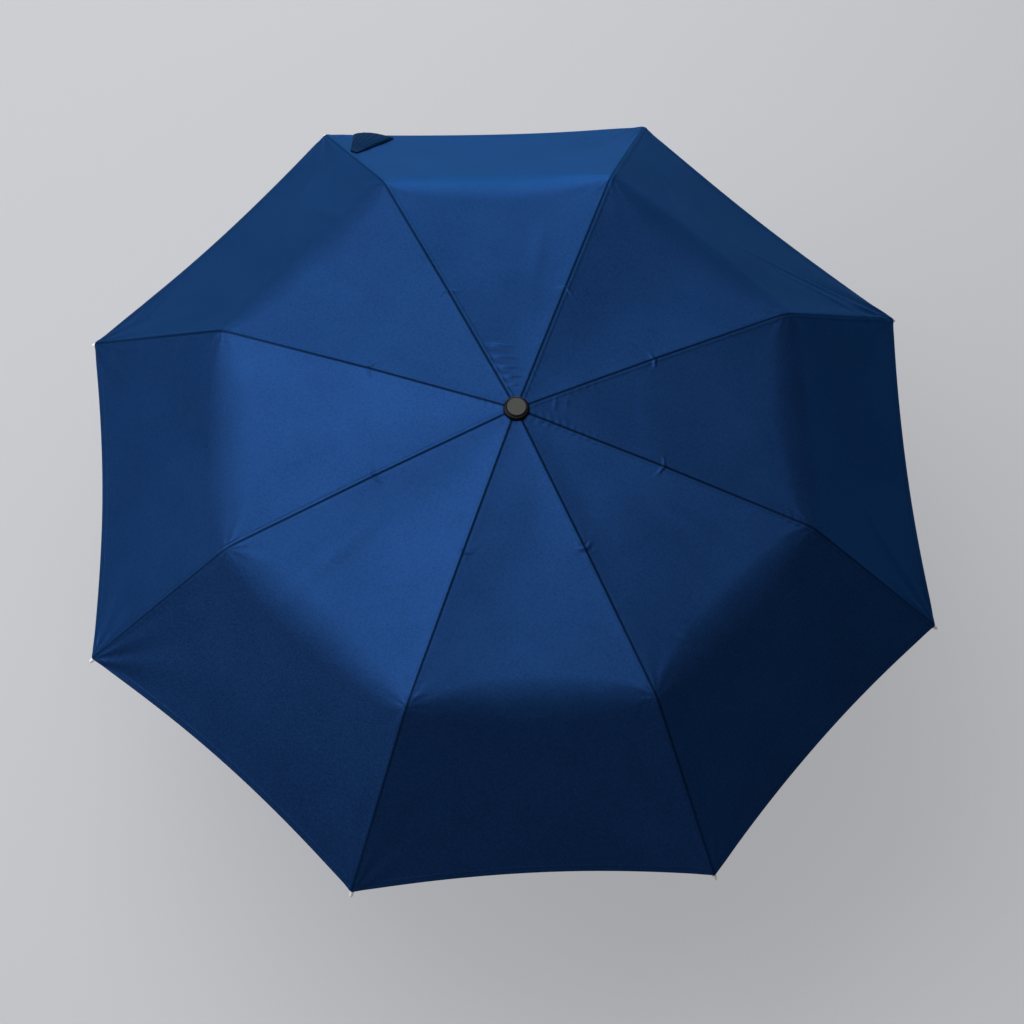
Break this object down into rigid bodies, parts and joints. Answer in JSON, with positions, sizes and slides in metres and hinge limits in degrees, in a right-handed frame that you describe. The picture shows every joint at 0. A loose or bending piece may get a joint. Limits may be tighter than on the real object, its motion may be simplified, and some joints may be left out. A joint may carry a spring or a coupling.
{
  "type": "folding umbrella",
  "caption": "Compact folding umbrella, open, with a navy cloth canopy, folding metal ribs, a telescoping shaft and a push-button handle.",
  "frame": {"origin": "centre of the handle's flat end face", "axes": "+Z along the shaft towards the cap; +X along rib 1, with ribs 2 to 8 following every 45 degrees counter-clockwise from above; the push button faces -Y"},
  "size_m": [0.9934, 0.9934, 0.5802],
  "materials": {
    "cloth_navy": "plain-weave polyester with a faint sheen",
    "strap_navy": "doubled plain-weave polyester",
    "cap_olive": "matt moulded plastic",
    "plastic_black": "gloss moulded plastic",
    "plastic_matt": "matt moulded plastic",
    "grip_rubber": "soft-touch coating",
    "tip_white": "satin moulded plastic",
    "tube_steel": "drawn steel tube",
    "tube_black": "black enamelled steel tube",
    "rib_steel": "black-plated folded steel channel",
    "rib_aluminium": "drawn aluminium",
    "spring_steel": "bright spring wire"
  },
  "bodies": {
    "handle": {"handle_end_cap": "plastic_black", "handle_grip": "grip_rubber", "tip_cup": "plastic_black", "lower_tube": "tube_steel", "opening_spring": "spring_steel", "button_spring": "spring_steel"},
    "push_button": {"push_button": "plastic_black"},
    "middle_tube": {"middle_tube": "tube_steel", "middle_bush": "plastic_matt"},
    "upper_shaft": {"upper_tube": "tube_black", "upper_bush": "plastic_matt", "crown": "plastic_matt", "top_cap": "cap_olive", "cap_ring": "plastic_black", "canopy": "cloth_navy", "tie_strap": "strap_navy"},
    "runner": {"runner": "plastic_matt"},
    "top_rib_1": {"top_rib_1": "rib_steel"},
    "mid_rib_1": {"mid_rib_1": "rib_aluminium"},
    "outer_rib_1": {"outer_rib_1": "rib_aluminium", "rib_tip_1": "tip_white"},
    "stretcher_1": {"stretcher_1": "rib_steel"},
    "top_rib_2": {"top_rib_2": "rib_steel"},
    "mid_rib_2": {"mid_rib_2": "rib_aluminium"},
    "outer_rib_2": {"outer_rib_2": "rib_aluminium", "rib_tip_2": "tip_white"},
    "stretcher_2": {"stretcher_2": "rib_steel"},
    "top_rib_3": {"top_rib_3": "rib_steel"},
    "mid_rib_3": {"mid_rib_3": "rib_aluminium"},
    "outer_rib_3": {"outer_rib_3": "rib_aluminium", "rib_tip_3": "tip_white"},
    "stretcher_3": {"stretcher_3": "rib_steel"},
    "top_rib_4": {"top_rib_4": "rib_steel"},
    "mid_rib_4": {"mid_rib_4": "rib_aluminium"},
    "outer_rib_4": {"outer_rib_4": "rib_aluminium", "rib_tip_4": "tip_white"},
    "stretcher_4": {"stretcher_4": "rib_steel"},
    "top_rib_5": {"top_rib_5": "rib_steel"},
    "mid_rib_5": {"mid_rib_5": "rib_aluminium"},
    "outer_rib_5": {"outer_rib_5": "rib_aluminium", "rib_tip_5": "tip_white"},
    "stretcher_5": {"stretcher_5": "rib_steel"},
    "top_rib_6": {"top_rib_6": "rib_steel"},
    "mid_rib_6": {"mid_rib_6": "rib_aluminium"},
    "outer_rib_6": {"outer_rib_6": "rib_aluminium", "rib_tip_6": "tip_white"},
    "stretcher_6": {"stretcher_6": "rib_steel"},
    "top_rib_7": {"top_rib_7": "rib_steel"},
    "mid_rib_7": {"mid_rib_7": "rib_aluminium"},
    "outer_rib_7": {"outer_rib_7": "rib_aluminium", "rib_tip_7": "tip_white"},
    "stretcher_7": {"stretcher_7": "rib_steel"},
    "top_rib_8": {"top_rib_8": "rib_steel"},
    "mid_rib_8": {"mid_rib_8": "rib_aluminium"},
    "outer_rib_8": {"outer_rib_8": "rib_aluminium", "rib_tip_8": "tip_white"},
    "stretcher_8": {"stretcher_8": "rib_steel"}
  },
  "joints": [
    {"name": "button_press", "type": "slide", "parent": "handle", "child": "push_button", "axis": [0, 1, 0], "range_m": [0, 0.002], "stiffness_N_per_m": 600, "springref_m": -0.002, "deforming": ["button_spring"]},
    {"name": "middle_tube_slide", "type": "slide", "parent": "handle", "child": "middle_tube", "axis": [0, 0, -1], "range_m": [0, 0.149]},
    {"name": "upper_tube_slide", "type": "slide", "parent": "middle_tube", "child": "upper_shaft", "axis": [0, 0, -1], "range_m": [0, 0.149]},
    {"name": "runner_slide", "type": "slide", "parent": "upper_shaft", "child": "runner", "axis": [0, 0, -1], "range_m": [0, 0.1295], "deforming": ["canopy", "tie_strap"]},
    {"name": "top_rib_1_fold", "type": "hinge", "parent": "upper_shaft", "child": "top_rib_1", "pos_m": [0.0095, 0, 0.57], "axis": [0, 1, 0], "range_deg": [0, 82.4]},
    {"name": "mid_rib_1_fold", "type": "hinge", "parent": "top_rib_1", "child": "mid_rib_1", "pos_m": [0.16358, 0, 0.553], "axis": [0, 1, 0], "range_deg": [-178.9, 0]},
    {"name": "outer_rib_1_fold", "type": "hinge", "parent": "mid_rib_1", "child": "outer_rib_1", "pos_m": [0.32746, 0, 0.52339], "axis": [0, 1, 0], "range_deg": [0, 148.5]},
    {"name": "stretcher_1_swing", "type": "hinge", "parent": "runner", "child": "stretcher_1", "pos_m": [0.011, 0.0034, 0.5275], "axis": [0, 1, 0], "range_deg": [-68.9, 0]},
    {"name": "top_rib_2_fold", "type": "hinge", "parent": "upper_shaft", "child": "top_rib_2", "pos_m": [0.00672, 0.00672, 0.57], "axis": [-0.7071, 0.7071, 0], "range_deg": [0, 82.4]},
    {"name": "mid_rib_2_fold", "type": "hinge", "parent": "top_rib_2", "child": "mid_rib_2", "pos_m": [0.11567, 0.11567, 0.553], "axis": [-0.7071, 0.7071, 0], "range_deg": [-178.9, 0]},
    {"name": "outer_rib_2_fold", "type": "hinge", "parent": "mid_rib_2", "child": "outer_rib_2", "pos_m": [0.23155, 0.23155, 0.52339], "axis": [-0.7071, 0.7071, 0], "range_deg": [0, 148.5]},
    {"name": "stretcher_2_swing", "type": "hinge", "parent": "runner", "child": "stretcher_2", "pos_m": [0.00537, 0.01018, 0.5275], "axis": [-0.7071, 0.7071, 0], "range_deg": [-68.9, 0]},
    {"name": "top_rib_3_fold", "type": "hinge", "parent": "upper_shaft", "child": "top_rib_3", "pos_m": [0, 0.0095, 0.57], "axis": [-1, 0, 0], "range_deg": [0, 82.4]},
    {"name": "mid_rib_3_fold", "type": "hinge", "parent": "top_rib_3", "child": "mid_rib_3", "pos_m": [0, 0.16358, 0.553], "axis": [-1, 0, 0], "range_deg": [-178.9, 0]},
    {"name": "outer_rib_3_fold", "type": "hinge", "parent": "mid_rib_3", "child": "outer_rib_3", "pos_m": [0, 0.32746, 0.52339], "axis": [-1, 0, 0], "range_deg": [0, 148.5]},
    {"name": "stretcher_3_swing", "type": "hinge", "parent": "runner", "child": "stretcher_3", "pos_m": [-0.0034, 0.011, 0.5275], "axis": [-1, 0, 0], "range_deg": [-68.9, 0]},
    {"name": "top_rib_4_fold", "type": "hinge", "parent": "upper_shaft", "child": "top_rib_4", "pos_m": [-0.00672, 0.00672, 0.57], "axis": [-0.7071, -0.7071, 0], "range_deg": [0, 82.4]},
    {"name": "mid_rib_4_fold", "type": "hinge", "parent": "top_rib_4", "child": "mid_rib_4", "pos_m": [-0.11567, 0.11567, 0.553], "axis": [-0.7071, -0.7071, 0], "range_deg": [-178.9, 0]},
    {"name": "outer_rib_4_fold", "type": "hinge", "parent": "mid_rib_4", "child": "outer_rib_4", "pos_m": [-0.23155, 0.23155, 0.52339], "axis": [-0.7071, -0.7071, 0], "range_deg": [0, 148.5]},
    {"name": "stretcher_4_swing", "type": "hinge", "parent": "runner", "child": "stretcher_4", "pos_m": [-0.01018, 0.00537, 0.5275], "axis": [-0.7071, -0.7071, 0], "range_deg": [-68.9, 0]},
    {"name": "top_rib_5_fold", "type": "hinge", "parent": "upper_shaft", "child": "top_rib_5", "pos_m": [-0.0095, 0, 0.57], "axis": [0, -1, 0], "range_deg": [0, 82.4]},
    {"name": "mid_rib_5_fold", "type": "hinge", "parent": "top_rib_5", "child": "mid_rib_5", "pos_m": [-0.16358, 0, 0.553], "axis": [0, -1, 0], "range_deg": [-178.9, 0]},
    {"name": "outer_rib_5_fold", "type": "hinge", "parent": "mid_rib_5", "child": "outer_rib_5", "pos_m": [-0.32746, 0, 0.52339], "axis": [0, -1, 0], "range_deg": [0, 148.5]},
    {"name": "stretcher_5_swing", "type": "hinge", "parent": "runner", "child": "stretcher_5", "pos_m": [-0.011, -0.0034, 0.5275], "axis": [0, -1, 0], "range_deg": [-68.9, 0]},
    {"name": "top_rib_6_fold", "type": "hinge", "parent": "upper_shaft", "child": "top_rib_6", "pos_m": [-0.00672, -0.00672, 0.57], "axis": [0.7071, -0.7071, 0], "range_deg": [0, 82.4]},
    {"name": "mid_rib_6_fold", "type": "hinge", "parent": "top_rib_6", "child": "mid_rib_6", "pos_m": [-0.11567, -0.11567, 0.553], "axis": [0.7071, -0.7071, 0], "range_deg": [-178.9, 0]},
    {"name": "outer_rib_6_fold", "type": "hinge", "parent": "mid_rib_6", "child": "outer_rib_6", "pos_m": [-0.23155, -0.23155, 0.52339], "axis": [0.7071, -0.7071, 0], "range_deg": [0, 148.5]},
    {"name": "stretcher_6_swing", "type": "hinge", "parent": "runner", "child": "stretcher_6", "pos_m": [-0.00537, -0.01018, 0.5275], "axis": [0.7071, -0.7071, 0], "range_deg": [-68.9, 0]},
    {"name": "top_rib_7_fold", "type": "hinge", "parent": "upper_shaft", "child": "top_rib_7", "pos_m": [0, -0.0095, 0.57], "axis": [1, 0, 0], "range_deg": [0, 82.4]},
    {"name": "mid_rib_7_fold", "type": "hinge", "parent": "top_rib_7", "child": "mid_rib_7", "pos_m": [0, -0.16358, 0.553], "axis": [1, 0, 0], "range_deg": [-178.9, 0]},
    {"name": "outer_rib_7_fold", "type": "hinge", "parent": "mid_rib_7", "child": "outer_rib_7", "pos_m": [0, -0.32746, 0.52339], "axis": [1, 0, 0], "range_deg": [0, 148.5]},
    {"name": "stretcher_7_swing", "type": "hinge", "parent": "runner", "child": "stretcher_7", "pos_m": [0.0034, -0.011, 0.5275], "axis": [1, 0, 0], "range_deg": [-68.9, 0]},
    {"name": "top_rib_8_fold", "type": "hinge", "parent": "upper_shaft", "child": "top_rib_8", "pos_m": [0.00672, -0.00672, 0.57], "axis": [0.7071, 0.7071, 0], "range_deg": [0, 82.4]},
    {"name": "mid_rib_8_fold", "type": "hinge", "parent": "top_rib_8", "child": "mid_rib_8", "pos_m": [0.11567, -0.11567, 0.553], "axis": [0.7071, 0.7071, 0], "range_deg": [-178.9, 0]},
    {"name": "outer_rib_8_fold", "type": "hinge", "parent": "mid_rib_8", "child": "outer_rib_8", "pos_m": [0.23155, -0.23155, 0.52339], "axis": [0.7071, 0.7071, 0], "range_deg": [0, 148.5]},
    {"name": "stretcher_8_swing", "type": "hinge", "parent": "runner", "child": "stretcher_8", "pos_m": [0.01018, -0.00537, 0.5275], "axis": [0.7071, 0.7071, 0], "range_deg": [-68.9, 0]}
  ],
  "couplings": [
    {"joint": "top_rib_1_fold", "follows": "runner_slide", "rad_per_m": 11.092},
    {"joint": "mid_rib_1_fold", "follows": "runner_slide", "rad_per_m": -24.098},
    {"joint": "outer_rib_1_fold", "follows": "runner_slide", "rad_per_m": 20.001},
    {"joint": "stretcher_1_swing", "follows": "runner_slide", "rad_per_m": -9.2732},
    {"joint": "top_rib_2_fold", "follows": "runner_slide", "rad_per_m": 11.092},
    {"joint": "mid_rib_2_fold", "follows": "runner_slide", "rad_per_m": -24.098},
    {"joint": "outer_rib_2_fold", "follows": "runner_slide", "rad_per_m": 20.001},
    {"joint": "stretcher_2_swing", "follows": "runner_slide", "rad_per_m": -9.2732},
    {"joint": "top_rib_3_fold", "follows": "runner_slide", "rad_per_m": 11.092},
    {"joint": "mid_rib_3_fold", "follows": "runner_slide", "rad_per_m": -24.098},
    {"joint": "outer_rib_3_fold", "follows": "runner_slide", "rad_per_m": 20.001},
    {"joint": "stretcher_3_swing", "follows": "runner_slide", "rad_per_m": -9.2732},
    {"joint": "top_rib_4_fold", "follows": "runner_slide", "rad_per_m": 11.092},
    {"joint": "mid_rib_4_fold", "follows": "runner_slide", "rad_per_m": -24.098},
    {"joint": "outer_rib_4_fold", "follows": "runner_slide", "rad_per_m": 20.001},
    {"joint": "stretcher_4_swing", "follows": "runner_slide", "rad_per_m": -9.2732},
    {"joint": "top_rib_5_fold", "follows": "runner_slide", "rad_per_m": 11.092},
    {"joint": "mid_rib_5_fold", "follows": "runner_slide", "rad_per_m": -24.098},
    {"joint": "outer_rib_5_fold", "follows": "runner_slide", "rad_per_m": 20.001},
    {"joint": "stretcher_5_swing", "follows": "runner_slide", "rad_per_m": -9.2732},
    {"joint": "top_rib_6_fold", "follows": "runner_slide", "rad_per_m": 11.092},
    {"joint": "mid_rib_6_fold", "follows": "runner_slide", "rad_per_m": -24.098},
    {"joint": "outer_rib_6_fold", "follows": "runner_slide", "rad_per_m": 20.001},
    {"joint": "stretcher_6_swing", "follows": "runner_slide", "rad_per_m": -9.2732},
    {"joint": "top_rib_7_fold", "follows": "runner_slide", "rad_per_m": 11.092},
    {"joint": "mid_rib_7_fold", "follows": "runner_slide", "rad_per_m": -24.098},
    {"joint": "outer_rib_7_fold", "follows": "runner_slide", "rad_per_m": 20.001},
    {"joint": "stretcher_7_swing", "follows": "runner_slide", "rad_per_m": -9.2732},
    {"joint": "top_rib_8_fold", "follows": "runner_slide", "rad_per_m": 11.092},
    {"joint": "mid_rib_8_fold", "follows": "runner_slide", "rad_per_m": -24.098},
    {"joint": "outer_rib_8_fold", "follows": "runner_slide", "rad_per_m": 20.001},
    {"joint": "stretcher_8_swing", "follows": "runner_slide", "rad_per_m": -9.2732}
  ]
}
